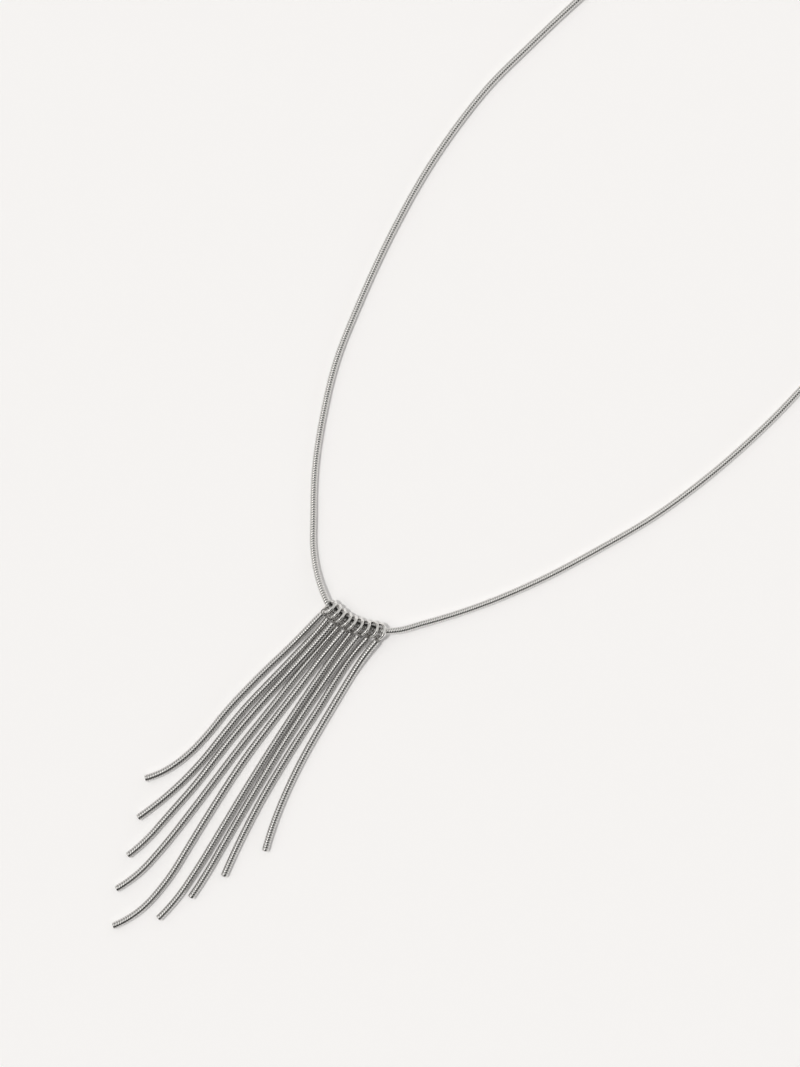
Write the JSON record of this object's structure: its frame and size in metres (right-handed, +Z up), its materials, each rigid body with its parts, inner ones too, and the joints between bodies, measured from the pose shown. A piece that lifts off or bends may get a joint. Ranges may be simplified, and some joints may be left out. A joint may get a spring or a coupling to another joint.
{
  "type": "fringe necklace",
  "caption": "Snake chain necklace with a fringe of snake chain strands hung on jump rings, lying flat, with end caps and a ring clasp.",
  "frame": {"origin": "middle of the bounding box, on the surface the necklace lies on", "axes": "+Z up from the surface, +Y from the fringe towards the back of the neck, +X to the right as seen from above with the fringe at the bottom"},
  "size_m": [0.0932, 0.2676, 0.0037],
  "materials": {
    "chain": "polished silver snake chain with fine ribs across it",
    "rings": "polished silver wire",
    "findings": "polished silver"
  },
  "bodies": {
    "root": {"main_chain": "chain", "ring_1": "rings", "ring_2": "rings", "ring_3": "rings", "ring_4": "rings", "ring_5": "rings", "ring_6": "rings", "ring_7": "rings", "ring_8": "rings", "ring_9": "rings", "strand_1": "chain", "strand_2": "chain", "strand_3": "chain", "strand_4": "chain", "strand_5": "chain", "strand_6": "chain", "strand_7": "chain", "strand_8": "chain", "strand_9": "chain", "end_cap_left": "findings", "end_cap_right": "findings", "clasp": "findings"}
  },
  "joints": []
}
